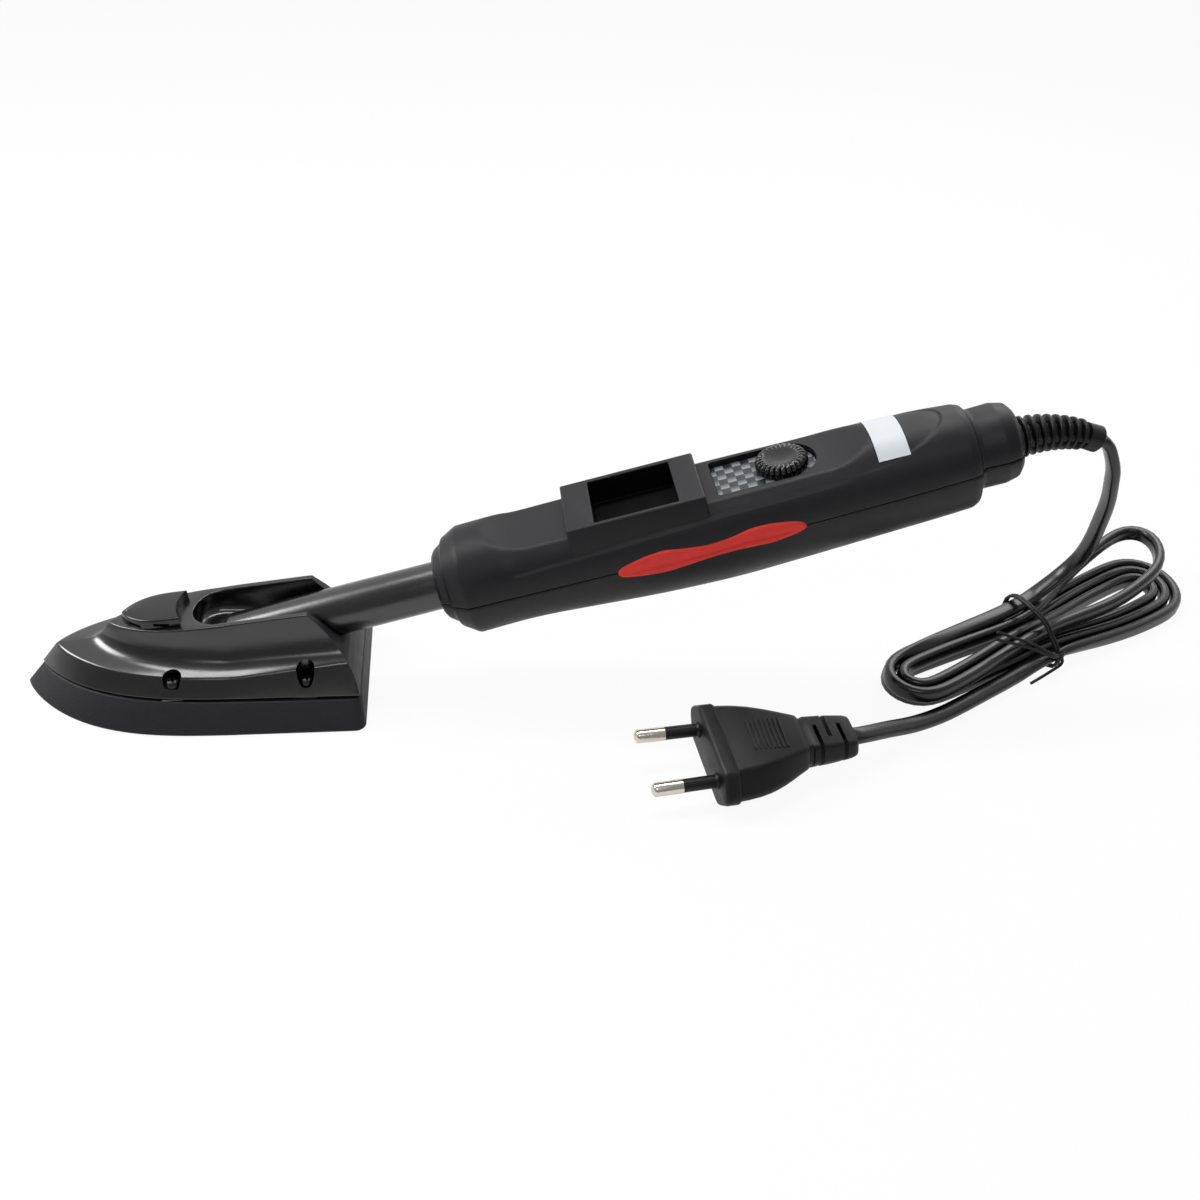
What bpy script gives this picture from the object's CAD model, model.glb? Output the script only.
# Sealing iron on its shoe, with its cord tied in a hank. +Z is up, and the tip of the shoe points towards -X.
# Pieces are drawn in mm, and addPiece and cutWith take them to metres.
from math import copysign, cos, exp, pi, radians, sin, sqrt

import bmesh
import bpy
import numpy as np
from mathutils import Matrix, Vector


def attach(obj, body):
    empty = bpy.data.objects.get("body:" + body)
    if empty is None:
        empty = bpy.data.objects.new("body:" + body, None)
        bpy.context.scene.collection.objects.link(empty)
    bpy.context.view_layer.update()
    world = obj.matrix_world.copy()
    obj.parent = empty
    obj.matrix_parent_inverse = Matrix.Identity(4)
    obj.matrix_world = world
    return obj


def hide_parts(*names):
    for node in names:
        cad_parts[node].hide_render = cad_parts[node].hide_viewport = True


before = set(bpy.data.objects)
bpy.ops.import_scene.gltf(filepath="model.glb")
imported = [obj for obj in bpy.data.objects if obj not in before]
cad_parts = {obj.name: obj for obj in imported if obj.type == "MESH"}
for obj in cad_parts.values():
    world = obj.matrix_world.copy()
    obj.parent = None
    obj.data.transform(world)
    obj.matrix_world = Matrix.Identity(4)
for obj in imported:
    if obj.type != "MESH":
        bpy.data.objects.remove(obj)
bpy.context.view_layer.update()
mm = 0.001
toMetres = Matrix.Scale(mm, 4)
looks = {}

handle = {"place": (50, 0, 27.5), "tilt": radians(16.9), "start": 21.5, "length": 173.5, "halfWidth": 16.9,
          "crown": 16.0, "belly": 20.2, "flat": 12.0, "seam": 0.15}
# along the handle, across it and up from it
handleFrame = Matrix.Translation(handle["place"]) @ Matrix.Rotation(-handle["tilt"], 4, "Y")


# Small helpers


def addPiece(name, bm, look, *nodes, matrix=Matrix(), body="iron", angle=32):
    # nodes are the CAD nodes that the piece stands for
    bm.transform(toMetres @ matrix)
    mesh = bpy.data.meshes.new(name)
    bm.to_mesh(mesh)
    bm.free()
    mesh.shade_smooth()
    mesh.set_sharp_from_angle(angle=radians(angle))
    mesh.materials.append(looks[look])
    piece = bpy.data.objects.new(name, mesh)
    bpy.context.scene.collection.objects.link(piece)
    if body:
        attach(piece, body)
    if nodes:
        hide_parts(*nodes)
    return piece


def cutWith(piece, cutter, matrix=Matrix()):
    # takes the cutter's bmesh out of the piece, and leaves no modifier behind
    cutter.transform(toMetres @ matrix)
    mesh = bpy.data.meshes.new("cutter")
    cutter.to_mesh(mesh)
    cutter.free()
    tool = bpy.data.objects.new("cutter", mesh)
    bpy.context.scene.collection.objects.link(tool)
    boolean = piece.modifiers.new("cut", "BOOLEAN")
    boolean.object = tool
    boolean.operation = "DIFFERENCE"
    result = bpy.data.meshes.new_from_object(piece.evaluated_get(bpy.context.evaluated_depsgraph_get()))
    piece.modifiers.clear()
    old, piece.data = piece.data, result
    result.name = piece.name
    bpy.data.meshes.remove(old)
    bpy.data.objects.remove(tool)
    bpy.data.meshes.remove(mesh)
    result.shade_smooth()
    result.set_sharp_from_angle(angle=radians(32))


def sealed(bm):
    # poles and seams merged, faces outwards
    bmesh.ops.remove_doubles(bm, verts=bm.verts, dist=2e-4)
    bmesh.ops.dissolve_degenerate(bm, edges=bm.edges, dist=1e-4)
    bmesh.ops.recalc_face_normals(bm, faces=bm.faces)
    return bm


def skinOver(rings):
    # lays a grid over rings of points, closed round
    rings = np.asarray(rings, float)
    rings = np.concatenate([rings, rings[:, :1]], axis=1)
    rows, across = rings.shape[:2]
    bm = bmesh.new()
    bmesh.ops.create_grid(bm, x_segments=across - 1, y_segments=rows - 1, size=1)
    for vert, point in zip(bm.verts, rings.reshape(-1, 3)):
        vert.co = point
    return sealed(bm)


def closeEnds(rings, closing):
    return [closing(rings[0]), *rings, closing(rings[-1])]


def easeCorners(rings, reach, steps=5):
    # rounds the corner that each ring but the first and last makes with its neighbours
    rings = [np.asarray(ring, float) for ring in rings]
    eased = [rings[0]]
    for before, corner, after, near in zip(rings, rings[1:], rings[2:], reach):
        ends = []
        for other in (before, after):
            gap = np.linalg.norm(other - corner, axis=1, keepdims=True)
            ends.append(corner + (other - corner) * np.minimum(0.48, near / np.maximum(gap, 1e-9)))
        for share in np.linspace(0, 1, steps):
            eased.append(ends[0] * (1 - share) ** 2 + corner * 2 * share * (1 - share) + ends[1] * share**2)
    return eased + [rings[-1]]


def box(low, high):
    low, high = Vector(low), Vector(high)
    bm = bmesh.new()
    bmesh.ops.create_cube(bm, size=1, matrix=Matrix.LocRotScale((low + high) / 2, None, high - low))
    return bm


def rod(place, radii, depth, segments):
    bm = bmesh.new()
    bmesh.ops.create_cone(
        bm, cap_ends=True, segments=segments, radius1=radii[0], radius2=radii[1], depth=depth,
        matrix=Matrix.Translation(place),
    )
    return bm


def prism(outline, way):
    # a flat outline drawn out along way
    bm = bmesh.new()
    face = bm.faces.new([bm.verts.new(point) for point in outline])
    grown = bmesh.ops.extrude_face_region(bm, geom=[face])["geom"]
    bmesh.ops.translate(bm, verts=[part for part in grown if isinstance(part, bmesh.types.BMVert)], vec=way)
    bmesh.ops.recalc_face_normals(bm, faces=bm.faces)
    return bm


def turned(profile, steps, closed=False):
    # spins a profile of (radius, height) about Z
    bm = bmesh.new()
    verts = [bm.verts.new((radius, 0, height)) for radius, height in profile]
    pairs = list(zip(verts, verts[1:])) + ([(verts[-1], verts[0])] if closed else [])
    geom = verts + [bm.edges.new(pair) for pair in pairs]
    bmesh.ops.spin(bm, geom=geom, axis=(0, 0, 1), cent=(0, 0, 0), steps=steps, angle=2 * pi, use_merge=True)
    return sealed(bm)


def smoothRun(points, count):
    # even steps on a smooth curve through the points
    points = np.array([tuple(point) for point in points], float)
    padded = np.vstack((2 * points[0] - points[1], points, 2 * points[-1] - points[-2]))
    dense = []
    for a, b, c, d in zip(padded, padded[1:], padded[2:], padded[3:]):
        for t in np.linspace(0, 1, 16, endpoint=False):
            cubic = (2 * a - 5 * b + 4 * c - d) * t**2 + (3 * b - a - 3 * c + d) * t**3
            dense.append((2 * b + (c - a) * t + cubic) / 2)
    dense = np.array(dense + [points[-1]])
    travel = travelAlong(dense)
    places = np.linspace(0, travel[-1], count)
    return np.column_stack([np.interp(places, travel, dense[:, k]) for k in range(3)])


def travelAlong(path):
    return np.concatenate(([0], np.cumsum(np.linalg.norm(np.diff(path, axis=0), axis=1))))


def ease(share):
    share = np.clip(share, 0, 1)
    return share * share * (3 - 2 * share)


def unit(vectors):
    return vectors / np.linalg.norm(vectors, axis=1, keepdims=True)


# Materials


def linear(hexColour):
    # sRGB hex to linear RGBA
    parts = [int(hexColour[k : k + 2], 16) / 255 for k in (1, 3, 5)]
    return (*[v / 12.92 if v <= 0.04045 else ((v + 0.055) / 1.055) ** 2.4 for v in parts], 1)


def node(tree, kind, settings=(), inputs=(), links=()):
    # adds a node with its settings, input values and links from (node, output) pairs
    made = tree.nodes.new("ShaderNode" + kind)
    for key, value in dict(settings).items():
        setattr(made, key, value)
    for key, value in dict(inputs).items():
        made.inputs[key].default_value = value
    for key, (source, output) in dict(links).items():
        tree.links.new(source.outputs[output], made.inputs[key])
    return made


def startMaterial(name, values):
    looks[name] = material = bpy.data.materials.new(name)
    material.use_nodes = True
    tree = material.node_tree
    shader = tree.nodes["Principled BSDF"]
    for key, value in values.items():
        shader.inputs[key].default_value = value
    return tree, shader


def mixed(tree, first, second, factor):
    colours = {"A": linear(first), "B": linear(second)}
    return node(tree, "Mix", {"data_type": "RGBA"}, colours, {"Factor": factor})


def dress(tree, shader, broad, fine, colours, spread, sheen, raised, depth):
    # broad mixes the colours and moves the sheen, and fine raises the grain
    tone = mixed(tree, *colours, (broad, "Fac"))
    ends = {"From Min": spread[0], "From Max": spread[1], "To Min": sheen[0], "To Max": sheen[1]}
    rough = node(tree, "MapRange", (), ends, {"Value": (broad, "Fac")})
    bump = node(tree, "Bump", (), {"Strength": raised, "Distance": depth}, {"Height": (fine, "Fac")})
    tree.links.new(tone.outputs["Result"], shader.inputs["Base Color"])
    tree.links.new(rough.outputs["Result"], shader.inputs["Roughness"])
    tree.links.new(bump.outputs["Normal"], shader.inputs["Normal"])


def grainy(name, dark, light, grain, cloud, smooth, rough, raised, metal, level):
    # a plastic, paint, coating or metal: two close colours, an uneven sheen and a fine grain in the surface
    tree, shader = startMaterial(name, {"Metallic": metal, "Specular IOR Level": level})
    place = {"Vector": (node(tree, "TexCoord"), "Object")}
    fine = node(tree, "TexNoise", (), {"Scale": 1 / (grain * mm), "Detail": 3, "Roughness": 0.6}, place)
    broad = node(tree, "TexNoise", (), {"Scale": 1 / (cloud * mm), "Detail": 4}, place)
    dress(tree, shader, broad, fine, (dark, light), (0.3, 0.7), (smooth, rough), raised, grain * mm / 2)


finishes = {
    # dark, light, size of the grain and of the clouds in mm, least and most roughness, the grain's strength,
    # metal, IOR level
    # moulded ABS with a soft-touch lacquer: dark grey, broad dull highlights, fine spark grain
    "softTouchAbs": ("#0c0a0f", "#100e13", 0.35, 9, 0.42, 0.52, 0.16, 0, 0.32),
    # bare moulded black at the bottom of the display's pocket
    "pocketBlack": ("#030303", "#060606", 0.4, 6, 0.55, 0.65, 0.1, 0, 0.08),
    # cast cover in satin black stoving paint: soft bright streaks along its edges
    "stovedBlackPaint": ("#050506", "#080809", 0.9, 12, 0.18, 0.24, 0.03, 0, 0.8),
    # sprayed PTFE on aluminium: charcoal, no sharp highlight, speckled grain
    "ptfeCoating": ("#0f0d12", "#18151b", 0.45, 4, 0.50, 0.60, 0.30, 0, 0.35),
    # steel tube in smooth black paint
    "paintedTube": ("#060607", "#09090a", 0.7, 8, 0.22, 0.28, 0.02, 0, 0.9),
    # moulded soft PVC of the plug and the strain relief, dull
    "mouldedPvc": ("#0b0a0d", "#100f12", 0.5, 5, 0.36, 0.48, 0.14, 0, 0.3),
    # injection moulded gloss ABS of the dial and the slotted cap
    "glossAbs": ("#070708", "#0a0a0b", 0.5, 5, 0.14, 0.22, 0.03, 0, 0.5),
    # red thermoplastic rubber, matt, a little paler where it is rubbed
    "redRubber": ("#cf2b25", "#de362f", 0.4, 6, 0.50, 0.64, 0.25, 0, 0.35),
    # coated white label stock, bare
    "whiteLabel": ("#c9cdd1", "#d6d9dc", 0.4, 7, 0.38, 0.48, 0.04, 0, 0.5),
    # black zinc on steel screws
    "blackZinc": ("#2c2c2d", "#3a3a3b", 0.2, 1.5, 0.28, 0.42, 0.1, 1, 0.5),
    # bright zinc on steel, turned or punched
    "brightZinc": ("#a9abb0", "#c2c4c8", 0.3, 3, 0.28, 0.40, 0.08, 1, 0.5),
    # aluminium as it leaves the mould
    "castAluminium": ("#8f9092", "#a9aaac", 0.4, 3, 0.45, 0.60, 0.3, 1, 0.5),
    # tinned brass can of the fuse
    "tinnedBrass": ("#a89a7c", "#bfb294", 0.2, 2, 0.25, 0.38, 0.05, 1, 0.5),
    # nickel on brass pins, drawn and tumbled
    "nickelPlate": ("#c9c3ba", "#ded9d0", 0.25, 2.5, 0.14, 0.24, 0.04, 1, 0.5),
    # pressed mica round the heater, brownish and flaky
    "micaSheet": ("#8a7a58", "#a8966c", 0.6, 4, 0.45, 0.60, 0.2, 0, 0.5),
    # fused glass of the sensor
    "glassBead": ("#9aa39c", "#b4bcb6", 0.3, 2, 0.06, 0.12, 0.02, 0, 0.5),
    # green solder mask on the board
    "solderMask": ("#0d4a24", "#12602f", 0.4, 3, 0.30, 0.42, 0.08, 0, 0.5),
    # moulded black epoxy case
    "mouldedEpoxy": ("#171717", "#222222", 0.2, 2, 0.45, 0.55, 0.2, 0, 0.5),
    # yellow case of the film capacitor
    "filmCase": ("#b07d14", "#c8921e", 0.4, 3, 0.30, 0.40, 0.05, 0, 0.5),
    # glazed ceramic resistor
    "glazedCeramic": ("#cfcac0", "#ddd9d0", 0.3, 2, 0.30, 0.42, 0.06, 0, 0.5),
    # braided glass sleeving, coarse and dull
    "glassSleeving": ("#c4c1b8", "#dad7cf", 0.3, 1.5, 0.55, 0.7, 0.4, 0, 0.5),
    # blue insulation, drawn smooth
    "blueInsulation": ("#163a78", "#1d4690", 0.4, 3, 0.35, 0.45, 0.05, 0, 0.5),
}
for name, row in finishes.items():
    grainy(name, *row)


def extrudedPvc():
    # flat cord drawn through a die: glossy black with fine lines along its length
    tree, shader = startMaterial("extrudedPvc", {"Specular IOR Level": 0.5})
    place = node(tree, "UVMap", {"uv_map": "run"})
    stretch = node(tree, "Mapping", (), {"Scale": (40, 0.4, 1)}, {"Vector": (place, "UV")})
    lines = node(tree, "TexNoise", (), {"Scale": 1.0, "Detail": 3}, {"Vector": (stretch, "Vector")})
    dress(tree, shader, lines, lines, ("#08080a", "#0d0d0f"), (0, 1), (0.20, 0.34), 0.03, 0.05 * mm)


def printedWeave():
    # printed twill film: dark and pale squares, each pale one shaded across as a tow catches the light
    weave = {"square": 2.5, "dark": "#0e0e0f", "shade": "#232427", "pale": "#8f9498"}
    film = {"Roughness": 0.32, "Coat Weight": 0.25, "Coat Roughness": 0.2}
    tree, shader = startMaterial("printedWeave", film)
    size = 1 / (weave["square"] * mm)
    onHandle = {"Rotation": (0, handle["tilt"], 0), "Location": handleFrame.inverted().translation * mm}
    inSquares = {"Scale": (size, size, 0), "Location": (0.5, 0.5, 0.5)}
    level = node(tree, "Mapping", (), onHandle, {"Vector": (node(tree, "TexCoord"), "Object")})
    scaled = node(tree, "Mapping", (), inSquares, {"Vector": (level, "Vector")})
    checks = node(tree, "TexChecker", (), {"Scale": 1.0}, {"Vector": (scaled, "Vector")})
    parts = node(tree, "SeparateXYZ", (), (), {"Vector": (scaled, "Vector")})
    across, along = [node(tree, "Math", {"operation": "FRACT"}, (), {0: (parts, axis)}) for axis in "YX"]
    tow = mixed(tree, weave["pale"], weave["shade"], (across, "Value"))
    weft = mixed(tree, weave["dark"], weave["shade"], (along, "Value"))
    cloth = node(tree, "Mix", {"data_type": "RGBA"}, (),
                 {"Factor": (checks, "Fac"), "A": (weft, "Result"), "B": (tow, "Result")})
    tree.links.new(cloth.outputs["Result"], shader.inputs["Base Color"])


extrudedPvc()
printedWeave()

# the CAD nodes that stay in sight or lie inside, by the start of their names; the others are screws
nodeLooks = {
    "decal_plate": "printedWeave", "potentiometer": "brightZinc", "heating_element": "micaSheet",
    "heater_clamp_plate": "brightZinc", "temperature_sensor": "glassBead", "thermal_fuse": "tinnedBrass",
    "tube_bracket": "castAluminium", "control_board": "solderMask", "triac": "mouldedEpoxy",
    "film_capacitor": "filmCase", "dropper_resistor": "glazedCeramic", "heater_lead": "glassSleeving",
    "sensor_lead": "glassSleeving", "mains_lead": "blueInsulation",
}
for name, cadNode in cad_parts.items():
    look = next((nodeLooks[key] for key in nodeLooks if name.startswith(key)), "blackZinc")
    cadNode.data.materials.clear()
    cadNode.data.materials.append(looks[look])
print("materials made")


# Camera, lamps and floor


def placeCamera():
    view = {"place": (0.0734, -0.3003, 0.2508), "right": (0.9924, -0.1049, 0.0639),
            "up": (0.0111, 0.5950, 0.8037), "back": (-0.1223, -0.7969, 0.5916), "lens": 37.5}
    camera = bpy.data.objects.new("camera", bpy.data.cameras.new("camera"))
    camera.data.lens = view["lens"]
    camera.data.sensor_width = 36
    camera.data.clip_start = 0.01
    turn = Matrix((view["right"], view["up"], view["back"])).transposed().to_quaternion().to_matrix()
    camera.matrix_world = Matrix.Translation(view["place"]) @ turn.to_4x4()
    bpy.context.scene.collection.objects.link(camera)
    bpy.context.scene.camera = camera


def addLamp(name, place, target, size, power):
    lamp = bpy.data.objects.new(name, bpy.data.lights.new(name, "AREA"))
    lamp.data.shape = "RECTANGLE"
    lamp.data.size, lamp.data.size_y = size
    lamp.data.energy = power
    way = Vector(target) - Vector(place)
    lamp.matrix_world = Matrix.Translation(place) @ way.to_track_quat("-Z", "Y").to_matrix().to_4x4()
    bpy.context.scene.collection.objects.link(lamp)


def seenDirectly(tree, mirrored):
    # 1 for camera and transmission rays, and the share that mirrored gives for glossy ones
    rays = node(tree, "LightPath")
    first = node(tree, "Math", {"operation": "MAXIMUM"}, (),
                 {0: (rays, "Is Camera Ray"), 1: (rays, "Is Transmission Ray")})
    glossy = node(tree, "Math", {"operation": "MULTIPLY"}, (), {0: (rays, "Is Glossy Ray"), 1: mirrored})
    return node(tree, "Math", {"operation": "MAXIMUM"}, (), {0: (first, "Value"), 1: (glossy, "Value")})


def makeStage():
    stage = {"size": 6000, "white": "#f4f4f4", "glow": 0.93, "fill": 0.30, "front": 0.30, "behind": 1.0,
             "mirrored": 0.50}
    world = bpy.data.worlds.new("studio")
    bpy.context.scene.world = world
    world.use_nodes = True
    tree = world.node_tree
    back = tree.nodes["Background"]
    back.inputs["Color"].default_value = (1, 1, 1, 1)
    # the backdrop is bright behind the object, and the room on the camera's side is dim
    way = node(tree, "SeparateXYZ", (), (), {"Vector": (node(tree, "TexCoord"), "Generated")})
    ends = {"From Min": -0.5, "From Max": 0.5, "To Min": stage["front"], "To Max": stage["behind"]}
    room = node(tree, "MapRange", {"interpolation_type": "SMOOTHSTEP"}, ends, {"Value": (way, "Y")})
    seen = (seenDirectly(tree, (room, "Result")), "Value")
    strength = node(tree, "Math", {"operation": "MAXIMUM"}, {1: stage["fill"]}, {0: seen})
    tree.links.new(strength.outputs["Value"], back.inputs["Strength"])
    # painted floor, matt and nearly white, that keeps the object's shadow
    tree, shader = startMaterial("studioFloor", {"Roughness": 0.9, "Specular IOR Level": 0.0})
    shader.inputs["Base Color"].default_value = linear(stage["white"])
    glow = node(tree, "Emission", (), {"Color": (1, 1, 1, 1), "Strength": 1.0})
    share = node(tree, "Value")
    share.outputs["Value"].default_value = stage["mirrored"]
    seen = (seenDirectly(tree, (share, "Value")), "Value")
    part = node(tree, "Math", {"operation": "MULTIPLY"}, {1: stage["glow"]}, {0: seen})
    blend = node(tree, "MixShader", (), (), {0: (part, "Value"), 1: (shader, "BSDF"), 2: (glow, "Emission")})
    tree.links.new(blend.outputs["Shader"], tree.nodes["Material Output"].inputs["Surface"])
    bm = bmesh.new()
    bmesh.ops.create_grid(bm, x_segments=1, y_segments=1, size=stage["size"] / 2)
    addPiece("studio_floor", bm, "studioFloor", body=None)


bpy.context.scene.view_settings.view_transform = "Standard"
placeCamera()
makeStage()
lamps = {
    # place, target, width and depth in metres, watts
    "softboxAbove": ((0.02, 0.21, 0.75), (0.05, 0, 0.03), (0.70, 0.11), 2.9),
    "softboxLeft": ((-0.54, 0.16, 0.48), (0.00, 0, 0.03), (0.20, 0.34), 3.2),
    "softboxBehind": ((0.52, 0.55, 0.56), (0.24, 0, 0.01), (0.42, 0.34), 1.6),
    "softboxFront": ((0.04, -0.60, 0.78), (0.14, 0, 0.03), (0.50, 0.16), 1.4),
}
for name, lamp in lamps.items():
    addLamp(name, *lamp)
print("camera, lamps and floor placed")


# Cord, hank and tie


cord = {"width": 5.2, "thick": 3.4, "radius": 1.6, "gap": 0.3, "print": 20}
hank = {"tie": (263.5, 7.0, 0), "angle": radians(27), "step": 3.8, "core": 0.9, "run": 28, "low": 4.6,
        "layerStep": 5.7, "sink": 1.8, "startLift": 3.4, "startShare": 0.16, "swapShare": 0.03125,
        "spreadShare": 0.14}
# pairs are for the left end and the right one
upperLayer = {"way": 1, "turns": 1.5, "reach": (61, 72), "lobe": (10.5, 14.5), "lean": (0.0, 0.13),
              "skew": 0.32, "lift": 9.5}
lowerLayer = {"way": -1, "turns": 2.5, "reach": (59, 77), "lobe": (12.5, 15.5), "lean": (-0.07, 0.03),
              "skew": 0.20, "lift": 0.0}
relief = {"start": 195.3, "bend": 38, "angle": radians(36.8), "radius": 6.0, "end": 3.9}
plug = {"place": (146.1, -48.3), "yaw": radians(8), "roll": radians(8), "halfWidth": 17.65,
        "halfHeight": 6.85, "length": 44, "flatShare": 0.72}
# the cord's route in metres, from the strain relief to the hank and from the hank to the plug
leadRoute = (
    (0.2690, 0.0010, 0.0743),
    (0.2716, 0.0030, 0.0676),
    (0.2749, 0.0065, 0.0586),
    (0.2775, 0.0108, 0.0485),
    (0.2798, 0.0154, 0.0375),
    (0.2805, 0.0196, 0.0280),
    (0.2759, 0.0206, 0.0198),
)
tailRoute = (
    (0.2630, -0.0046, 0.0042),
    (0.2535, -0.0103, 0.0034),
    (0.2403, -0.0179, 0.0031),
    (0.2243, -0.0270, 0.0031),
    (0.2125, -0.0328, 0.0043),
    (0.2035, -0.0368, 0.0064),
)
hankFrame = Matrix.Translation(hank["tie"]) @ Matrix.Rotation(hank["angle"], 4, "Z")
# the plug lies rolled onto an edge
plugLow = plug["flatShare"] * plug["halfWidth"] * sin(plug["roll"]) + plug["halfHeight"] * cos(plug["roll"])
plugFrame = Matrix.Translation((*plug["place"], plugLow + cord["gap"]))
plugFrame = plugFrame @ Matrix.Rotation(plug["yaw"], 4, "Z") @ Matrix.Rotation(plug["roll"], 4, "X")


def hankStrand(turn, layer):
    # a layer counted inward from its outermost strand at the tie
    ahead, aside = -layer["way"] * sin(2 * pi * turn), layer["way"] * cos(2 * pi * turn)
    left, right = layer["reach"]
    inset = hank["step"] * turn * (1 + hank["spreadShare"] * ahead * ahead)
    waist = hank["core"] + layer["turns"] * hank["step"]
    reach = (right + left) / 2 - inset
    along = (right - left) / 2 + reach * ahead
    spread = 1 - exp(-((along / hank["run"]) ** 2))
    lobe = layer["lobe"][int(along > 0)]
    nearEnd = min(reach * (1 - abs(ahead)) / (layer["lobe"][int(ahead > 0)] - inset), 1)
    across = copysign(waist + (lobe - waist) * spread - inset, aside) * sqrt(nearEnd * (2 - nearEnd))
    across += layer["lean"][int(along > 0)] * along
    height = hank["low"] - hank["sink"] * spread
    if layer is upperLayer:
        height += hank["layerStep"] + hank["startLift"] * (1 - ease(turn / hank["startShare"]))
    if along > 0:
        bend = (along / right) ** 2
        along += layer["skew"] * across * bend
        height += layer["lift"] * bend
    return Vector((along, across, height))


def hankPoint(turn):
    # inward on the upper layer, then down at the core and outward on the lower one, the other way round
    total = upperLayer["turns"] + lowerLayer["turns"]
    first, last = upperLayer["turns"] - hank["swapShare"], upperLayer["turns"] + hank["swapShare"]
    if turn <= first:
        return hankStrand(turn, upperLayer)
    if turn >= last:
        return hankStrand(total - turn, lowerLayer)
    before, after = hankStrand(first, upperLayer), hankStrand(total - last, lowerLayer)
    share = (turn - first) / (last - first)
    moved = before.lerp(after, float(ease(share)))
    moved.x = before.x + (after.x - before.x) * share
    return moved


def reliefPoint(travel):
    angle = travel / relief["bend"]
    point = Vector((relief["start"] + relief["bend"] * sin(angle), 0, -relief["bend"] * (1 - cos(angle))))
    return point, Vector((cos(angle), 0, -sin(angle)))


def cordPath():
    end, way = reliefPoint(relief["bend"] * relief["angle"])
    exit = handleFrame @ end
    way = (handleFrame.to_3x3() @ way).normalized()
    total = upperLayer["turns"] + lowerLayer["turns"]
    loops = [hankFrame @ hankPoint(turn) for turn in np.linspace(0, total, round(total * 64) + 1)]
    into = (loops[0] - loops[1]).normalized()
    outOf = (loops[-1] - loops[-2]).normalized()
    diameter = 2 * cord["radius"]
    near, far = cord["gap"], diameter + cord["gap"]
    plugEnd = plugFrame @ Vector((plug["length"], 0, 0))
    plugWay = (plugFrame.to_3x3() @ Vector((1, 0, 0))).normalized()
    lead = [exit + way * near, exit + way * far, *[Vector(point) / mm for point in leadRoute]]
    lead.append(loops[0] + into * diameter)
    tail = [loops[-1] + outOf * diameter, *[Vector(point) / mm for point in tailRoute]]
    tail += [plugEnd + plugWay * far, plugEnd + plugWay * near]
    leadRun, tailRun = smoothRun(lead, 60), smoothRun(tail, 50)
    path = np.vstack((leadRun, [tuple(point) for point in loops], tailRun))
    kernel = np.array([1, 2, 3, 2, 1]) / 9
    padded = np.vstack((path[:1], path[:1], path, path[-1:], path[-1:]))
    path[2:-2] = np.column_stack([np.convolve(padded[:, k], kernel, "valid") for k in range(3)])[2:-2]
    return exit, path, len(leadRun), len(tailRun)


def makeCord():
    exit, path, leadCount, tailCount = cordPath()
    count = len(path)
    tangents = unit(np.gradient(path, axis=0))
    # the wide side lies level on the lead and the tail, and stands upright round the hank
    place = np.arange(count)
    upright = ease((place - leadCount - 4) / 9) * (1 - ease((place - (count - tailCount) + 10) / 22))
    waistWay = hankFrame.to_3x3() @ Vector((0, 1, 0))
    turning = ease(place / leadCount)
    level = np.outer(1 - turning, (0, 1, 0)) + np.outer(turning, waistWay)
    level[place > count / 2] = plugFrame.to_3x3() @ Vector((0, -1, 0))
    wide = level * (1 - upright)[:, None] + np.array((0, 0, 1.0)) * upright[:, None]
    wide = unit(wide - tangents * (wide * tangents).sum(1, keepdims=True))
    thick = np.cross(tangents, wide)
    angles = np.linspace(0, 2 * pi, 20, endpoint=False)
    across = cord["width"] / 2 * np.sign(np.cos(angles)) * np.abs(np.cos(angles)) ** 0.62
    deep = cord["thick"] / 2 * np.sign(np.sin(angles)) * np.abs(np.sin(angles)) ** 0.72
    rings = path[:, None] + wide[:, None] * across[None, :, None] + thick[:, None] * deep[None, :, None]
    rings = np.concatenate((path[None, :1].repeat(20, 1), rings, path[None, -1:].repeat(20, 1)))
    piece = addPiece("mains_cord", skinOver(rings), "extrudedPvc", "cord_lead", "cord_hank", "cord_tail")
    runs = travelAlong(path)
    layer = piece.data.uv_layers.new(name="run")
    coords = np.array([vert.co for vert in piece.data.vertices]) / mm
    nearest = np.array([int(np.argmin(((path - co) ** 2).sum(1))) for co in coords])
    side = ((coords - path[nearest]) * wide[nearest]).sum(1) / cord["width"] + 0.5
    for loop in piece.data.loops:
        vert = loop.vertex_index
        layer.data[loop.index].uv = (side[vert], runs[nearest[vert]] / cord["print"])
    length = float(runs[-1]) * mm
    print(f"cord {length:.3f} m")
    return piece, exit * mm, path * mm, length


mainsCord, cordExit, cordCentre, cordLength = makeCord()


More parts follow.
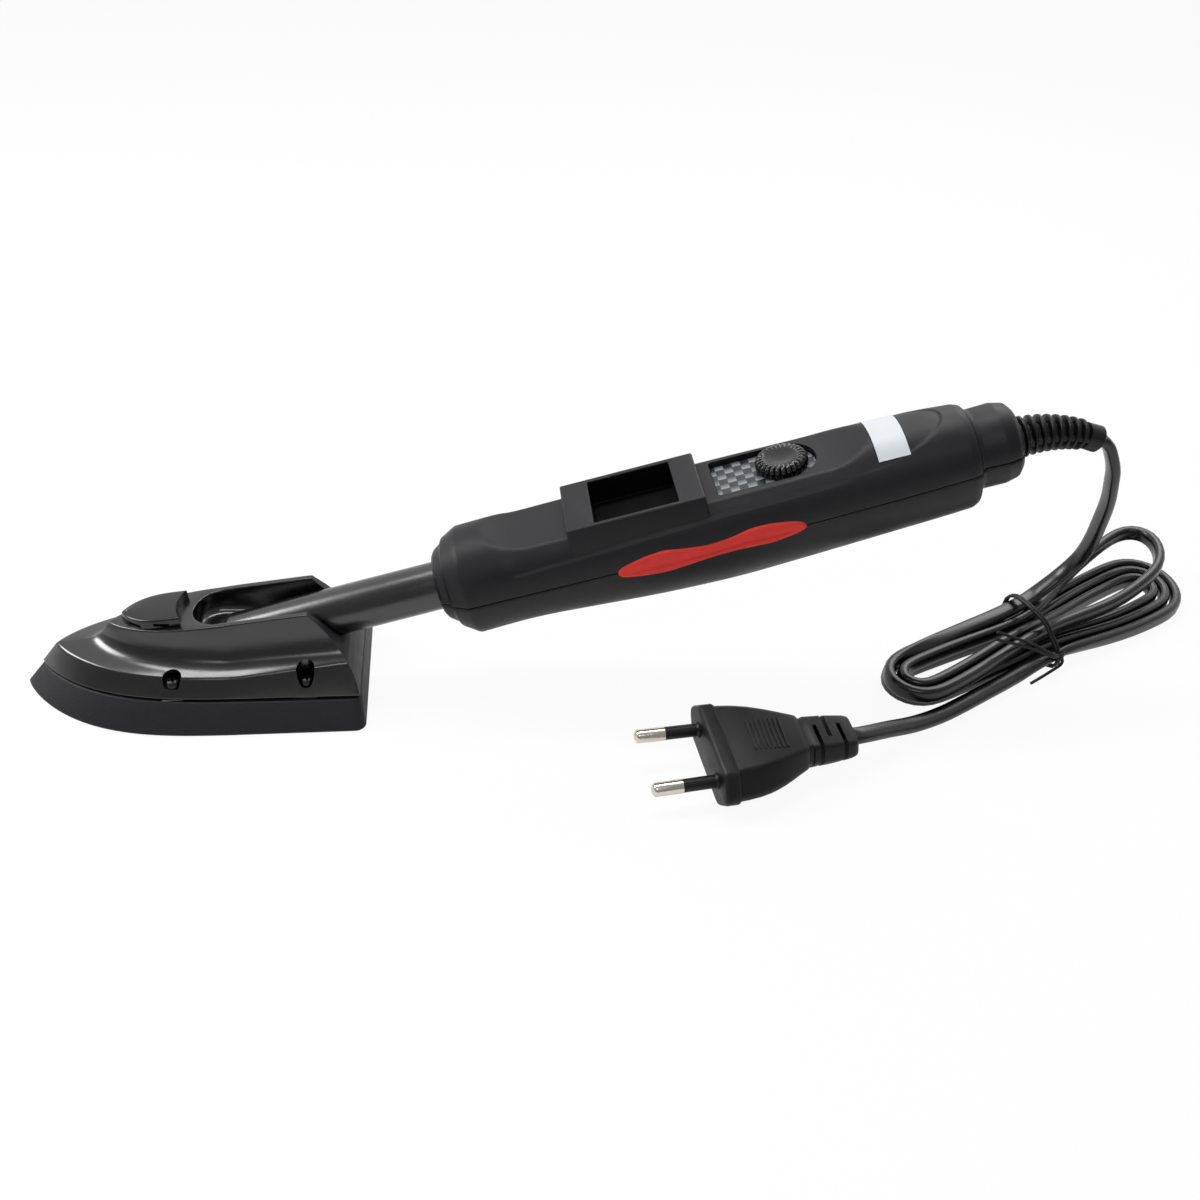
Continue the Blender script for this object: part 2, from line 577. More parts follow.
def makeTie():
    # a coated wire tie: two turns round the waist, twisted at the near side, ends left free
    tie = {"radius": 0.5, "halfWidth": 13.2, "top": 16.8, "apart": 1.2, "margin": 2.8}
    shares = ((-1.00, 0.48), (-0.90, 0.58), (-0.67, 0.74), (-0.43, 0.90), (0.00, 1.00), (0.31, 1.03),
              (0.62, 1.02), (0.81, 0.90), (0.855, 0.67), (0.87, 0.42), (0.855, 0.18), (0.73, 0.065),
              (0.00, 0.058), (-0.70, 0.058), (-0.93, 0.10), (-1.01, 0.22), (-1.02, 0.36), (-1.01, 0.46))
    wide, top, margin = tie["halfWidth"], tie["top"], tie["margin"]
    last = len(shares) - 1
    strands = [[(side * tie["apart"] / 2 + margin * 0.5 * (k / last - 0.5), wide * a, top * b)
                for k, (a, b) in enumerate(shares)] for side in (-1, 1)]
    # shares of the margin, the half width and the top for each free end
    prongs = (((-1.6, -1.03, 0.57), (-4.3, -0.75, 0.84), (-8.2, -0.31, 1.12)),
              ((-1.6, -1.06, 0.52), (-4.3, -0.82, 0.76), (-8.8, -0.40, 1.04)),
              ((0.1, -1.14, 0.29), (-2.0, -1.14, 0.19), (-4.8, -1.15, 0.13)))
    for ends in prongs:
        strands.append([(margin * a, wide * b, top * c) for a, b, c in ((0.2, -1.04, 0.44), *ends)])
    strands.append([(0.4 * margin * cos(t), -wide * 1.045 + 0.55 * sin(t), top * (0.43 + 0.012 * t))
                    for t in np.linspace(-3, 9, 26)])
    curve = bpy.data.curves.new("tie_wire", "CURVE")
    curve.dimensions = "3D"
    curve.bevel_depth = tie["radius"] * mm
    curve.bevel_resolution = 4
    curve.use_fill_caps = True
    for strand in strands:
        points = smoothRun(strand, max(24, 2 * len(strand)))
        spline = curve.splines.new("POLY")
        spline.points.add(len(points) - 1)
        for point, co in zip(spline.points, points):
            point.co = (*(toMetres @ hankFrame @ Vector(co)), 1)
    piece = bpy.data.objects.new("tie_wire", curve)
    bpy.context.scene.collection.objects.link(piece)
    curve.materials.append(looks["mouldedPvc"])
    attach(piece, "iron")
    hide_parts("hank_tie")
    return piece


tieWire = makeTie()
print("cord, hank and tie made")


# Shoe: coated sole, cover and vent cap


shoe = {"length": 100, "halfWidth": 26.4, "height": 8.6, "drop": 1.4, "nose": 60, "corner": 3, "edge": 0.6,
        "gap": 0.8, "tip": -50, "bolts": {"front": 45.7, "rear": 83.1}, "boltSide": 17.2, "boltBase": 12.3}
boltSpots = [(f"{row}_{hand}", shoe["tip"] + place, side * shoe["boltSide"])
             for row, place in shoe["bolts"].items() for hand, side in (("right", -1), ("left", 1))]


def halfOutline(front, back, halfWidth, backHalfWidth, nose, corner, noseSteps=36, sideSteps=24):
    # half of a pointed plan outline, from the tip to the back, as places and half widths
    places = front + nose * np.linspace(0, 1, noseSteps + 1) ** 1.8
    places = np.concatenate((places, np.linspace(places[-1], back - corner, sideSteps + 1)[1:]))
    share = np.clip((places - front) / nose, 0, 1)
    taper = np.clip((places - front - nose) / max(back - corner - front - nose, 1e-9), 0, 1)
    widths = (halfWidth + (backHalfWidth - halfWidth) * taper) * (1 - (1 - share) ** 3) ** 0.82
    if corner:
        turns = np.linspace(0, pi / 2, 8)[1:]
        places = np.concatenate((places, back - corner + corner * np.sin(turns)))
        widths = np.concatenate((widths, backHalfWidth - corner * (1 - np.cos(turns))))
    return places, widths


def planRing(places, widths, heights):
    near = np.column_stack(np.broadcast_arrays(shoe["tip"] + places, -1 * widths, heights))
    return np.vstack((near, near[::-1] * (1, -1, 1)))


def soleTop(places):
    share = np.clip(places / (shoe["length"] / 2), 0, 1)
    return shoe["height"] - shoe["drop"] * (1 - share) ** 2


def makeSole():
    width, length = shoe["halfWidth"], shoe["length"]
    nose, corner, edge = shoe["nose"], shoe["corner"], shoe["edge"]
    low = halfOutline(edge, length - edge, width - edge, width - 2 * edge, nose, corner)
    wide = halfOutline(0, length, width, width - edge, nose, corner)
    top = halfOutline(5.5, length - 1.4, width - 5, width - 5.4, nose - edge, corner)
    inner = halfOutline(6.5, length - 2.2, width - 6, width - 6.4, nose - edge, corner)
    rings = [
        planRing(low[0] * 0.98 + 1, 0, 0),
        planRing(*low, 0),
        planRing(*wide, edge),
        planRing(*top, soleTop(top[0])),
        planRing(*inner, soleTop(inner[0])),
        planRing(inner[0], 0, soleTop(inner[0])),
    ]
    rings = easeCorners(rings, (0.2, 0.8, 0.5, 0.2), 4)
    addPiece("coated_sole", skinOver(rings), "ptfeCoating", "sole_plate", angle=50)
    pad = {"halfLength": 2.95, "halfWidth": 3.2, "low": 7, "high": 9.2}
    for spot, x, y in boltSpots:
        low = (x - pad["halfLength"], y - pad["halfWidth"], pad["low"])
        high = (x + pad["halfLength"], y + pad["halfWidth"], pad["high"])
        addPiece("spacer_pad_" + spot, box(low, high), "paintedTube")


coverLevels = {
    # front, back, half width, back half width and nose; front height, back height, where it starts to rise
    "ledge": (10.6, 94.4, 18.3, 16.4, 55, 14.9, 18.6, 62),
    "foot": (20.0, 93.2, 15.0, 14.4, 48, 15.9, 19.6, 62),
    "wall": (23.2, 92.0, 12.6, 12.7, 44, 17.7, 21.4, 60),
    "shoulder": (24.7, 89.7, 11.2, 11.35, 41, 20.3, 24.8, 45),
    "rim": (26.3, 83.4, 10.0, 10.0, 38, 22.2, 31.0, 26.3),
}
cover = {
    "end": 103, "bowlFloor": 20, "hole": (2.6, 2.75), "dullFrom": 82,
    # front, half width and height share of the bowl's levels
    "bowl": ((50.5, 8.2, 1.0), (50.7, 8.0, 0.40), (52.0, 6.7, 0.06), (53.8, 4.9, 0.0)),
    # side view of what is cut off at the back
    "back": ((98.4, 9.0), (98.2, 10.2), (97.5, 13.2), (96.4, 16.2), (95.2, 18.3), (93.9, 19.6), (92.6, 20.8),
             (91.3, 22.4), (89.7, 24.6), (87.4, 27.3), (84.4, 30.3), (82.6, 32.5), (110, 32.5), (110, 6),
             (98.4, 6)),
}


def rise(places, row):
    back, (low, high, start) = row[1], row[5:]
    return low + (high - low) * np.clip((places - start) / (back - start), 0, 1)


def rimPlane(places):
    return rise(places, coverLevels["rim"])


def levelRing(row):
    # a level of the cover, run on past its back so that the back can be cut off it
    places, widths = halfOutline(row[0], cover["end"], *row[2:5], 0)
    return planRing(places, widths, rise(places, row))


def bowlRing(front, width, lift):
    # the open channel: a round end, then straight to the back
    turns = np.linspace(0, pi / 2, 37)
    straight = np.linspace(front + width, cover["end"], 25)[1:]
    places = np.concatenate((front + width - width * np.cos(turns), straight))
    widths = np.concatenate((width * np.sin(turns), np.full(24, width)))
    floor = cover["bowlFloor"]
    return planRing(places, widths, floor + (rimPlane(places) - floor) * lift)


def makeCover():
    base = halfOutline(5.5, cover["end"], 21.0, 20.6, 58.4, 0)
    under = soleTop(base[0]) + shoe["gap"]
    rings = [planRing(base[0], 0, under), planRing(*base, under)]
    rings += [levelRing(row) for row in coverLevels.values()]
    rings += [bowlRing(*row) for row in cover["bowl"]]
    rings.append(rings[-1] * (1, 0, 1))
    reach = (0.4, 0.9, 3.0, 2.8, 1.4, 0.55, 0.7, 2.4, 2.6, 1.2)
    piece = addPiece("cast_cover", skinOver(easeCorners(rings, reach, 6)), "stovedBlackPaint", "sole_cover")
    cutWith(piece, prism([(shoe["tip"] + x, -30, z) for x, z in cover["back"]], (0, 60, 0)))
    for _, x, y in boltSpots:
        cutWith(piece, rod((x, y, 22), cover["hole"], 20, 40))
    # the cut rear keeps only a thin, dull coat
    piece.data.materials.append(looks["ptfeCoating"])
    for face in piece.data.polygons:
        if face.normal.x > 0.6 and face.center.x > (shoe["tip"] + cover["dullFrom"]) * mm:
            face.material_index = 1


ventCap = {"front": 30, "back": 49.5, "halfWidth": 7.2, "nose": 15, "insets": (0, 0.15, 0.35, 1.5),
           "sunk": 0.6, "top": 25.6, "topRise": 2.6, "riseLength": 18, "arc": 14.1, "arcPlace": 60.1,
           "slots": ((32.9, 36.6), (40.4, 44.8)), "slotReach": (3.4, 12), "slotLevel": 1.25,
           "slotWidth": 0.85}


def capBase(places):
    return rimPlane(places) - ventCap["sunk"]


def capTop(places):
    share = np.clip((places - ventCap["front"]) / ventCap["riseLength"], 0, 1.2)
    return ventCap["top"] + ventCap["topRise"] * share


def makeVentCap():
    front, back, width, nose = [ventCap[key] for key in ("front", "back", "halfWidth", "nose")]
    foot, waist, shoulder, crown = [halfOutline(front + k, back, width - k, width - k, nose, 0, 30, 12)
                                    for k in ventCap["insets"]]
    rings = [
        planRing(foot[0], 0, capBase(foot[0])),
        planRing(*foot, capBase(foot[0])),
        planRing(*waist, capBase(waist[0]) + 1.6),
        planRing(*shoulder, capTop(shoulder[0])),
        planRing(*crown, capTop(crown[0]) + 0.1),
        planRing(crown[0], 0, capTop(crown[0]) + 0.35),
    ]
    bm = skinOver(easeCorners(rings, (0.1, 0.3, 0.5, 0.4), 4))
    piece = addPiece("slotted_cap", bm, "glossAbs", "vent_cap")
    cutWith(piece, rod((shoe["tip"] + ventCap["arcPlace"], 0, 24), (ventCap["arc"], ventCap["arc"]), 30, 128))
    for start, stop in ventCap["slots"]:
        level = float(capBase((start + stop) / 2)) + ventCap["slotLevel"]
        for side in (-1, 1):
            inner, outer = sorted(side * reach for reach in ventCap["slotReach"])
            high = (shoe["tip"] + stop, outer, level + ventCap["slotWidth"])
            cutWith(piece, box((shoe["tip"] + start, inner, level), high))


def panScrew(name, cadNode, place, radius=1.9, up=(0, 0, 1)):
    # cross-recess pan head on a short shaft
    height, shaft = 1.8, 3
    profile = [(0, height), (0.5 * radius, 0.97 * height), (0.8 * radius, 0.80 * height),
               (0.95 * radius, 0.5 * height), (radius, 0.2 * height), (radius, 0), (0.5 * radius, 0),
               (0.5 * radius, -shaft), (0, -shaft)]
    matrix = Matrix.Translation(place) @ Vector(up).to_track_quat("Z", "Y").to_matrix().to_4x4()
    piece = addPiece(name, turned(profile, 40), "blackZinc", cadNode, matrix=matrix)
    long, wide = 0.62 * radius, 0.17 * radius
    for angle in (20, 110):
        slot = box((-long, -wide, 0.35 * height), (long, wide, 2 * height))
        cutWith(piece, slot, matrix @ Matrix.Rotation(radians(angle), 4, "Z"))


makeSole()
makeCover()
makeVentCap()
for spot, x, y in sorted(boltSpots):
    panScrew("cover_bolt_" + spot, "cover_screw_" + spot, (x, y, shoe["boltBase"]))
print("shoe made")


# Neck tube and handle


def makeTube():
    tube = {"radius": 7.15, "wall": 1.0, "start": -41.5, "length": 81.5, "nose": 2.2}
    radius, bore, length, nose = tube["radius"], tube["radius"] - tube["wall"], tube["length"], tube["nose"]
    rounded = [(radius - nose * (1 - sin(t)), nose * (1 - cos(t))) for t in np.linspace(0, pi / 2, 8)]
    profile = [(0, 0), *rounded, (radius, length), (bore, length), (bore, 2 * nose), (0, 2 * nose)]
    matrix = handleFrame @ Matrix.Translation((tube["start"], 0, 0)) @ Matrix.Rotation(pi / 2, 4, "Y")
    addPiece("painted_neck_tube", turned(profile, 96), "paintedTube", "neck_tube", matrix=matrix)


# share of the length, of the half width, of the crown, of the belly
handleShares = np.array((
    (0.008, 0.533, 0.563, 0.446), (0.012, 0.610, 0.645, 0.510), (0.027, 0.710, 0.752, 0.604),
    (0.029, 0.775, 0.820, 0.665), (0.053, 0.925, 0.955, 0.815), (0.058, 0.941, 0.975, 0.832),
    (0.107, 0.947, 0.988, 0.807), (0.164, 0.959, 0.994, 0.792), (0.251, 0.976, 1.000, 0.861),
    (0.337, 0.994, 1.000, 0.931), (0.401, 1.000, 1.000, 0.970), (0.504, 1.000, 0.994, 1.000),
    (0.614, 0.982, 0.981, 0.960), (0.712, 0.953, 0.975, 0.921), (0.787, 0.929, 0.963, 0.891),
    (0.856, 0.888, 0.913, 0.871), (0.902, 0.858, 0.869, 0.851), (0.913, 0.815, 0.828, 0.800),
    (0.917, 0.716, 0.756, 0.640), (0.923, 0.684, 0.723, 0.584), (0.962, 0.698, 0.738, 0.584),
    (0.983, 0.645, 0.681, 0.540), (0.992, 0.533, 0.563, 0.446), (0.994, 0.450, 0.475, 0.376),
))


def sectionAt(places):
    # half width, crown and belly, eased over a short stretch at the steps and a long one between them
    share = (places - handle["start"]) / handle["length"]
    middle = np.clip(np.minimum(share - 0.06, 0.86 - share) / 0.08, 0, 1)
    window = (0.3 + 6.2 * middle) / handle["length"]
    total = np.zeros((3, len(places)))
    offsets = np.linspace(-1, 1, 9)
    for offset in offsets:
        moved = np.clip(share + offset * window, 0, 1)
        total += [np.interp(moved, handleShares[:, 0], handleShares[:, k]) for k in (1, 2, 3)]
    return [row / len(offsets) * handle[size] for row, size in zip(total, ("halfWidth", "crown", "belly"))]


def flatLevel(place):
    # the level that the crown is taken down to: a scoop, the flat, and a ramp up
    front = np.clip((52.5 - place) / 14, 0, 2)
    back = np.clip((place - 138) / 16, 0, 2)
    return handle["flat"] + (handle["crown"] - handle["flat"]) * (front**2 + back**2)


def softLower(first, second, reach):
    near = np.maximum(reach - np.abs(first - second), 0) / reach
    return np.minimum(first, second) - near * near * reach / 4


def stations():
    # close together at the collar and the rear steps
    spans = ((0.008, 0.062, 44), (0.062, 0.86, 150), (0.86, 0.994, 92))
    shares = np.concatenate([np.linspace(*span)[k > 0 :] for k, span in enumerate(spans)])
    return handle["start"] + handle["length"] * shares


def shellRing(place, width, tall, upper):
    angles = np.linspace(0, pi, 121)
    across, height = width * np.cos(angles), tall * np.sin(angles)
    if upper:
        # a faint ledge runs along each side below the flat
        crease = 6.2 + 2.6 * np.clip((place - 47) / 60, 0, 1)
        fade = ease((place - 44) / 4) * (1 - ease((place - 132) / 14))
        ledge = 0.45 * fade * ease((height - crease) / 0.5 + 0.5)
        across = across - np.sign(across) * ledge * np.minimum(np.abs(across) / 4, 1)
        # and a shallow round-ended thumb rest behind the flat
        arc = np.hypot((place - 146) / 27, across / 12.5)
        rest = 0.30 * ease((1.0 - arc) / 0.025 + 0.5) * (1 - ease((150 - place) / 10))
        height = height - rest * (height > 4)
        height = softLower(height, flatLevel(place), 0.9)
    seam = handle["seam"]
    height = np.maximum(height, seam)
    lip = 0.4 * (1 - np.clip((height - seam) / 0.5, 0, 1)) ** 2
    across = across - np.sign(across) * np.minimum(lip, np.abs(across))
    across = np.concatenate((across, across[-1] + (across[0] - across[-1]) * np.linspace(0, 1, 8)[1:-1]))
    height = np.concatenate((height, np.full(6, seam)))
    return np.column_stack((np.full(len(across), place), across, height if upper else -height))


def makeShell(name, cadNode, upper):
    places = stations()
    width, crown, belly = sectionAt(places)
    rings = [shellRing(*row, upper) for row in zip(places, width, crown if upper else belly)]
    middle = (handle["seam"] + 3) * (1 if upper else -1)
    rings = closeEnds(rings, lambda ring: ring * (1, 0, 0) + (0, 0, middle))
    return addPiece(name, skinOver(rings), "softTouchAbs", cadNode, matrix=handleFrame)


def makeBlock():
    # raised frame of the display, open in the middle, on a slightly wider foot
    block = {"low": (63.75, -12.2, 6.5), "high": (103.45, 12.2, 15.06), "pocket": (71.87, 96.17, 10.75),
             "floor": 6.86, "footOut": 0.3, "footShare": 1.17, "round": 0.55, "margin": 0.2}
    start, stop, half = block["pocket"]
    bm = box(block["low"], block["high"])
    for vert in [vert for vert in bm.verts if vert.co.z < block["floor"]]:
        vert.co.x += copysign(block["footOut"], vert.co.x - start)
        vert.co.y *= block["footShare"]
    for place, way in (((start, 0, 0), (1, 0, 0)), ((stop, 0, 0), (1, 0, 0)),
                       ((0, -half, 0), (0, 1, 0)), ((0, half, 0), (0, 1, 0))):
        bmesh.ops.bisect_plane(bm, geom=bm.verts[:] + bm.edges[:] + bm.faces[:], plane_co=place, plane_no=way)
    top = [face for face in bm.faces if face.normal.z > 0.9 and abs(face.calc_center_median().y) < 5
           and start < face.calc_center_median().x < stop]
    sunk = bmesh.ops.extrude_face_region(bm, geom=top)["geom"]
    bmesh.ops.delete(bm, geom=top, context="FACES_ONLY")
    sunk = [part for part in sunk if isinstance(part, bmesh.types.BMVert)]
    bmesh.ops.translate(bm, verts=sunk, vec=(0, 0, block["floor"] - block["high"][2]))
    bmesh.ops.dissolve_limit(bm, angle_limit=0.02, verts=bm.verts, edges=bm.edges)
    sharp = [edge for edge in bm.edges if len(edge.link_faces) == 2 and edge.calc_face_angle() > 0.5]
    bmesh.ops.bevel(
        bm, geom=sharp, offset=block["round"], segments=4, profile=0.5, affect="EDGES", material=-1
    )
    bmesh.ops.recalc_face_normals(bm, faces=bm.faces)
    piece = addPiece("display_frame", bm, "softTouchAbs", matrix=handleFrame)
    piece.data.materials.append(looks["pocketBlack"])
    back, margin = handleFrame.inverted(), block["margin"]
    for face in piece.data.polygons:
        spot = back @ (face.center / mm)
        inside = start - margin < spot.x < stop + margin and abs(spot.y) < half + margin
        if inside and spot.z < block["high"][2] - 0.9:
            face.material_index = 1


def windowCutter():
    # straight at the front with small round corners, round at the back
    window = {"front": 107.2, "middle": 128.2, "radius": 8.9, "corner": 1.2, "floor": 9.8, "depth": 10}
    radius, corner = window["radius"], window["corner"]
    turns = np.linspace(-pi / 2, pi / 2, 49)
    outline = [(window["middle"] + radius * cos(turn), radius * sin(turn)) for turn in turns]
    for side, first in ((1, pi / 2), (-1, pi)):
        for turn in np.linspace(first, first + pi / 2, 6):
            place = window["front"] + corner * (1 + cos(turn))
            outline.append((place, side * (radius - corner) + corner * sin(turn)))
    return prism([(x, y, window["floor"]) for x, y in outline], (0, 0, window["depth"]))


# share of the length, and of the height for the upper edge and the lower one
gripShares = np.array((
    (0.000, 0.10, -0.10), (0.012, 0.36, -0.34), (0.050, 0.56, -0.52), (0.150, 0.86, -0.76),
    (0.255, 1.00, -0.88), (0.350, 0.76, -0.76), (0.490, 0.54, -0.56), (0.610, 0.68, -0.50),
    (0.716, 0.98, -0.58), (0.817, 0.95, -0.67), (0.943, 0.67, -0.42), (0.985, 0.44, -0.24),
    (1.000, 0.12, -0.06),
))


def makeGrip(name, cadNode, side):
    # rubber inlay that follows the shells, a little proud, with a fold along its length
    start, length, tall, proudBy, fold, buried = 74.8, 54.2, 4.0, 0.4, 0.42, 1.2
    shares = (1 - np.cos(np.linspace(0, pi, 121))) / 2
    spots = start + length * shares
    width, crown, belly = sectionAt(spots)
    top, low = [np.interp(shares, gripShares[:, 0], gripShares[:, k]) * tall for k in (1, 2)]
    for edge in (top, low):
        edge[3:-3] = np.convolve(edge, np.ones(7) / 7, "valid")
    across = (1 - np.cos(np.linspace(0, pi, 33))) / 2
    rings = []
    for k, place in enumerate(spots):
        height = low[k] + (top[k] - low[k]) * across
        tallness = np.where(height > 0, crown[k], belly[k])
        surface = width[k] * np.sqrt(np.clip(1 - (height / tallness) ** 2, 0, 1))
        edge = np.minimum(across, 1 - across) * (top[k] - low[k])
        ends = min(place - start, start + length - place)
        proud = (proudBy + 0.15) * np.sqrt(np.clip(np.minimum(edge, ends) / 0.9, 0, 1)) - 0.15
        sunk = fold * np.exp(-(((across - 0.32) / 0.05) ** 2)) * ease((ends - 3) / 3)
        outer = np.column_stack((np.full(33, place), side * (surface + proud - sunk), height))
        inner = outer[::-1].copy()
        inner[:, 1] = side * (surface[::-1] - buried)
        rings.append(np.vstack((outer, inner)))
    rings = closeEnds(rings, lambda ring: ring.mean(0, keepdims=True).repeat(66, 0))
    addPiece(name, skinOver(rings), "redRubber", cadNode, matrix=handleFrame, angle=60)


def makeSticker():
    label = {"start": 152.2, "stop": 161.2, "edges": (46, 134), "proud": (0.18, -0.12),
             "buried": (-0.3, -0.5)}
    places = np.linspace(label["start"], label["stop"], 12)
    width, crown, _ = sectionAt(places)
    angles = np.radians(np.linspace(*label["edges"], 48))
    rings = []
    for place, wide, tall in zip(places, width, crown):
        sides = []
        for (out, up), turns in ((label["proud"], angles), (label["buried"], angles[::-1])):
            across, height = (wide + out) * np.cos(turns), (tall + up) * np.sin(turns)
            sides.append(np.column_stack((np.full(48, place), across, height)))
        rings.append(np.vstack(sides))
    rings = closeEnds(rings, lambda ring: np.vstack((ring[:48], ring[:48][::-1])))
    addPiece("bare_label", skinOver(rings), "whiteLabel", "blank_sticker", matrix=handleFrame, angle=30)


def makeDial():
    # ribbed knob with a dished crown; the ribs run over its shoulder into the dish
    dial = {"radius": 7.6, "height": 3.5, "ribs": 26, "depth": 0.55, "place": 127.2, "base": 10.75}
    angles = np.linspace(0, 2 * pi, dial["ribs"] * 12, endpoint=False)
    groove = dial["depth"] * (1 - np.abs(np.cos(angles * dial["ribs"] / 2)) ** 0.8)
    # share of the radius and of the height, and how much of the ribs shows
    profile = ((0.0, 0.0, 0), (0.93, 0.0, 0.6), (0.985, 0.05, 1), (1.0, 0.16, 1), (1.0, 0.45, 1),
               (0.985, 0.62, 1), (0.94, 0.80, 1), (0.87, 0.92, 1), (0.78, 0.985, 0.9), (0.70, 1.0, 0.7),
               (0.62, 0.985, 0.4), (0.55, 0.95, 0.1), (0.50, 0.93, 0), (0.44, 0.90, 0), (0.30, 0.84, 0),
               (0.15, 0.81, 0), (0.0, 0.80, 0))
    rings = []
    for wide, tall, ribbed in profile:
        radius = dial["radius"] * wide - groove * ribbed * (wide > 0.8)
        height = dial["height"] * tall - groove * 0.8 * ribbed * (wide <= 0.94) * (tall > 0.5)
        x, y = dial["place"] + radius * np.cos(angles), radius * np.sin(angles)
        rings.append(np.column_stack((x, y, dial["base"] + height)))
    knob = skinOver(rings)
    addPiece("ribbed_dial", knob, "glossAbs", "dial_knob", matrix=handleFrame, body="dial", angle=60)


def makeRelief():
    # ribs on a thin core, joined by a web along each side, then the end block
    length, ribs, end = relief["bend"] * relief["angle"], 8, relief["end"]
    block = 0.2 * length
    pitch = (length - block) / ribs
    angles = np.linspace(0, 2 * pi, 48, endpoint=False)
    web = np.exp(-((np.abs(np.abs(np.cos(angles)) - 1) / 0.03) ** 2))
    # travel, radius, and 1 where the web fills the gap between two ribs
    rows = [(-2.4, 0.2, 0), (-2.4, 5, 0), (-0.1, 5, 0)]
    ribShares = ((0.0, 0.62), (0.04, 0.95), (0.14, 1.0), (0.34, 1.0), (0.46, 0.94), (0.50, 0.62),
                 (0.98, 0.62))
    for rib in range(ribs):
        start = rib * pitch
        radius = relief["radius"] + (end - relief["radius"]) * start / length
        rows += [(start + share * pitch, radius * wide, wide < 0.7) for share, wide in ribShares]
    rows += [(length - block, 0.7 * end, 0), (length - block + 0.1, end, 0), (length - 0.5, 1.02 * end, 0),
             (length - 0.1, 0.93 * end, 0), (length, 0.8 * end, 0), (length, 0.0, 0)]
    rings = []
    for travel, radius, gap in rows:
        if travel > 0:
            point, way = reliefPoint(travel)
        else:
            point, way = Vector((relief["start"] + travel, 0, 0)), Vector((1, 0, 0))
        reach = radius * (1 + 0.42 * web * gap)
        wide, tall = np.cos(angles) * reach, np.sin(angles) * reach
        rings.append(np.array(point) + np.outer(wide, (0, 1, 0)) + np.outer(tall, (-way.z, 0, way.x)))
    addPiece("ribbed_relief", skinOver(rings), "mouldedPvc", "strain_relief", matrix=handleFrame, angle=40)


makeTube()
upperShell = makeShell("upper_shell", "upper_handle_shell", True)
makeShell("lower_shell", "lower_handle_shell", False)
displayOpening = {"low": (71.0, -11.4, 6.2), "high": (97, 11.4, 30)}
cutWith(upperShell, box(displayOpening["low"], displayOpening["high"]), handleFrame)
cutWith(upperShell, windowCutter(), handleFrame)
makeBlock()
makeGrip("red_grip_left", "grip_insert_left", 1)
makeGrip("red_grip_right", "grip_insert_right", -1)
makeSticker()
makeDial()
makeRelief()
screwSpots = {"front": (50, 0, -10.3), "rear_left": (157, 8.2, -10.3), "rear_right": (157, -8.2, -10.3)}
down = handleFrame.to_3x3() @ Vector((0, 0, -1))
for spot, place in screwSpots.items():
    panScrew("handle_bolt_" + spot, "handle_screw_" + spot, handleFrame @ Vector(place), 2.6, down)
print("handle made")


# Plug


def roundedRing(corners, radius, steps=6):
    # a convex outline with its corners rounded, the same number of points at each
    corners = [np.array(corner, float) for corner in corners]
    ring = []
    for before, corner, after in zip(corners[-1:] + corners[:-1], corners, corners[1:] + corners[:1]):
        first, last = [corner + (other - corner) * min(0.48, radius / np.linalg.norm(other - corner))
                       for other in (before, after)]
        for t in np.linspace(0, 1, steps):
            ring.append(first * (1 - t) ** 2 + corner * 2 * t * (1 - t) + last * t * t)
    return ring


# share of the length, of the half width, of the half height, and the flat's share of the width
plugShares = (
    (0.0, 0.0, 0.0, 0.7), (0.0, 0.93, 0.86, 0.72), (0.006, 0.975, 0.94, 0.72),
    (0.02, 1.0, 1.0, 0.72), (0.090, 1.0, 1.0, 0.72), (0.102, 0.985, 0.98, 0.71),
    (0.106, 0.955, 0.955, 0.70), (0.17, 0.945, 0.96, 0.69), (0.25, 0.92, 0.955, 0.68),
    (0.32, 0.88, 0.94, 0.67), (0.38, 0.83, 0.915, 0.66), (0.44, 0.765, 0.885, 0.66),
    (0.50, 0.69, 0.85, 0.66), (0.55, 0.62, 0.815, 0.67), (0.60, 0.555, 0.78, 0.68),
    (0.625, 0.52, 0.745, 0.69), (0.632, 0.50, 0.72, 0.70), (0.636, 0.44, 0.70, 0.70),
    (0.672, 0.435, 0.69, 0.70), (0.676, 0.46, 0.70, 0.71), (0.80, 0.445, 0.66, 0.72),
    (0.88, 0.425, 0.62, 0.72), (0.96, 0.405, 0.57, 0.72), (0.988, 0.375, 0.54, 0.72),
    (0.997, 0.345, 0.50, 0.72), (1.0, 0.30, 0.44, 0.72), (1.0, 0.0, 0.0, 0.72),
)
plugParts = {"notches": ((0.715, -1), (0.795, 1), (0.885, -1)), "notchWidth": 1.3,
             "bars": 8, "barStart": 11.85, "barPitch": 1.4, "barDrop": 0.07, "barSize": (0.5, 10.6, 0.62),
             "barRound": 0.14, "pin": 2.0, "pinLength": 19, "pinSide": 9.3, "pinTurn": radians(0.7)}


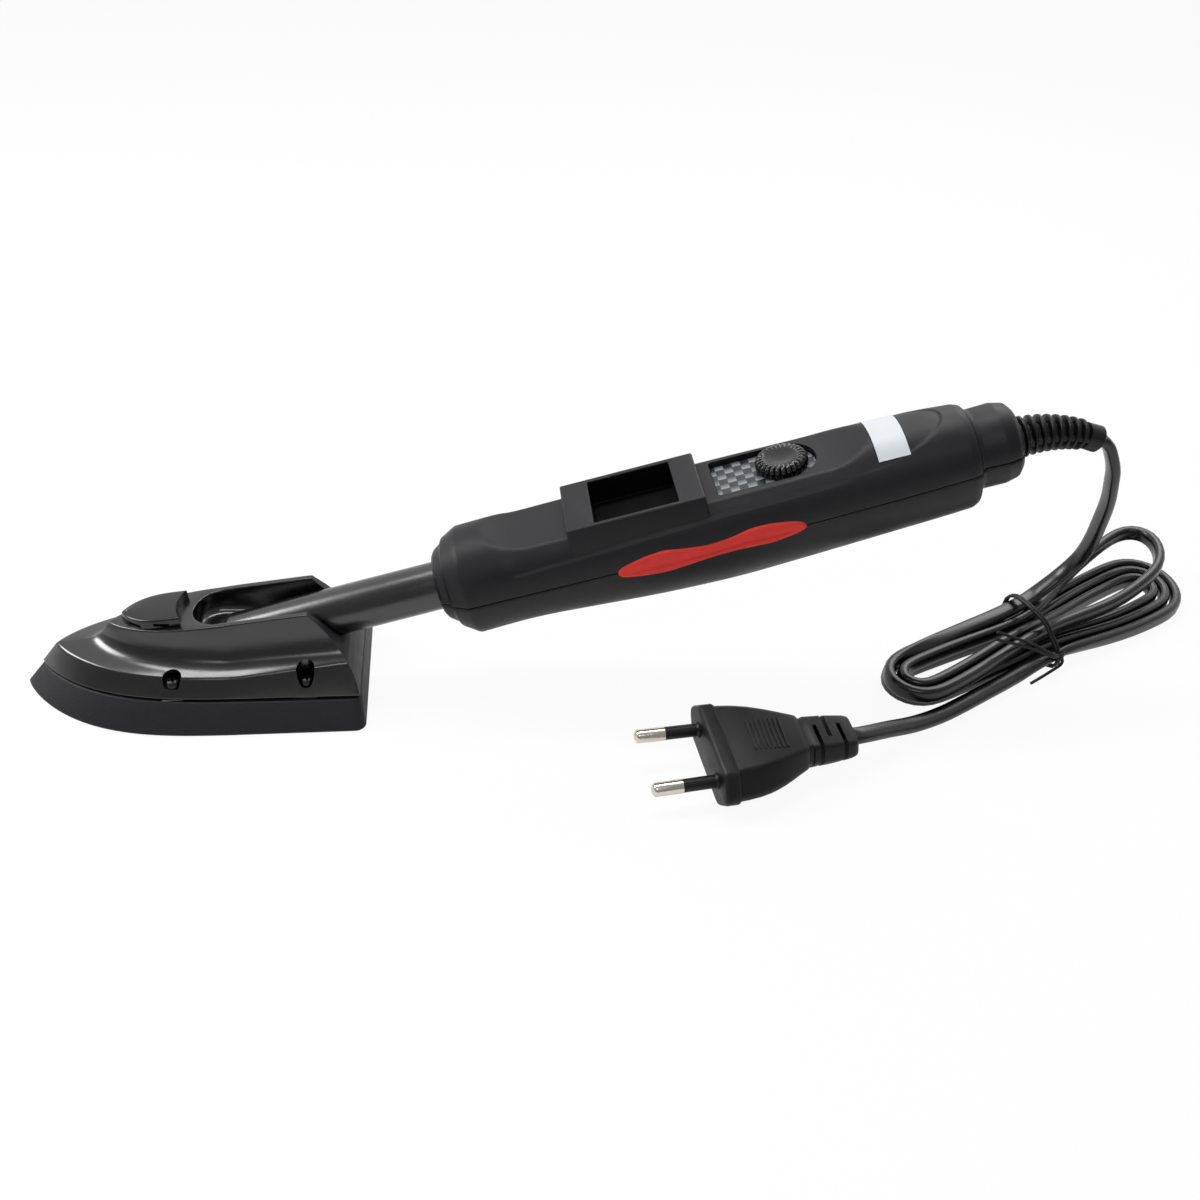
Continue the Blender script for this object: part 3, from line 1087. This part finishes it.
def makePlug():
    wide, tall, length = plug["halfWidth"], plug["halfHeight"], plug["length"]
    rings = []
    for share, widthShare, heightShare, flat in plugShares:
        w, h = wide * max(widthShare, 0.001), tall * max(heightShare, 0.001)
        corners = ((w, -0.12 * h), (w, 0.12 * h), (flat * w, h), (-flat * w, h),
                   (-w, 0.12 * h), (-w, -0.12 * h), (-flat * w, -h), (flat * w, -h))
        rings.append([(share * length, y, z) for y, z in roundedRing(corners, min(1.0, 0.3 * w))])
    piece = addPiece("moulded_plug", skinOver(rings), "mouldedPvc", "plug_body", matrix=plugFrame, angle=35)
    endWide, endTall = 0.42 * wide, 0.7 * tall
    for share, side in plugParts["notches"]:
        inner, outer = sorted((-0.30 * side * endWide, 2 * side * endWide))
        low = (share * length, inner, -2 * endTall)
        cutWith(piece, box(low, (share * length + plugParts["notchWidth"], outer, 2 * endTall)), plugFrame)
    bars = bmesh.new()
    for bar in range(plugParts["bars"]):
        x = plugParts["barStart"] + plugParts["barPitch"] * bar
        z = 0.955 * tall + 0.01 - plugParts["barDrop"] * bar
        place = Matrix.LocRotScale(Vector((x, 0, z)), None, Vector(plugParts["barSize"]))
        bmesh.ops.create_cube(bars, size=1, matrix=place)
    bmesh.ops.bevel(
        bars, geom=bars.edges[:], offset=plugParts["barRound"], segments=3, profile=0.5, affect="EDGES",
        material=-1,
    )
    pieces = [piece, addPiece("plug_grip_bars", bars, "mouldedPvc", matrix=plugFrame)]
    pin, tip = plugParts["pin"], plugParts["pinLength"]
    metal = [(pin * sin(t), tip - pin * 0.62 * (1 - cos(t))) for t in np.linspace(0, pi / 2, 10)]
    metal += [(pin, 10.15), (1.85, 10.0), (1.2, 10.0), (1.2, -8), (0, -8)]
    sleeve = [(1.9, 9.9), (1.9, 0.8), (2.35, 0.2), (2.35, -0.6), (1.25, -0.6), (1.25, 9.9)]
    for hand, side in (("left", 1), ("right", -1)):
        turn = Matrix.Rotation(-plugParts["pinTurn"] * side, 4, "Z") @ Matrix.Rotation(-pi / 2, 4, "Y")
        place = plugFrame @ Matrix.Translation((0, side * plugParts["pinSide"], 0)) @ turn
        for name, cadNode, profile, look in (("nickel_pin_", "plug_pin_", metal, "nickelPlate"),
                                             ("pin_cover_", "pin_sleeve_", sleeve, "mouldedPvc")):
            bm = turned(profile, 48, profile is sleeve)
            pieces.append(addPiece(name + hand, bm, look, cadNode + hand, matrix=place))
    return pieces


plugPieces = makePlug()
print("plug made")
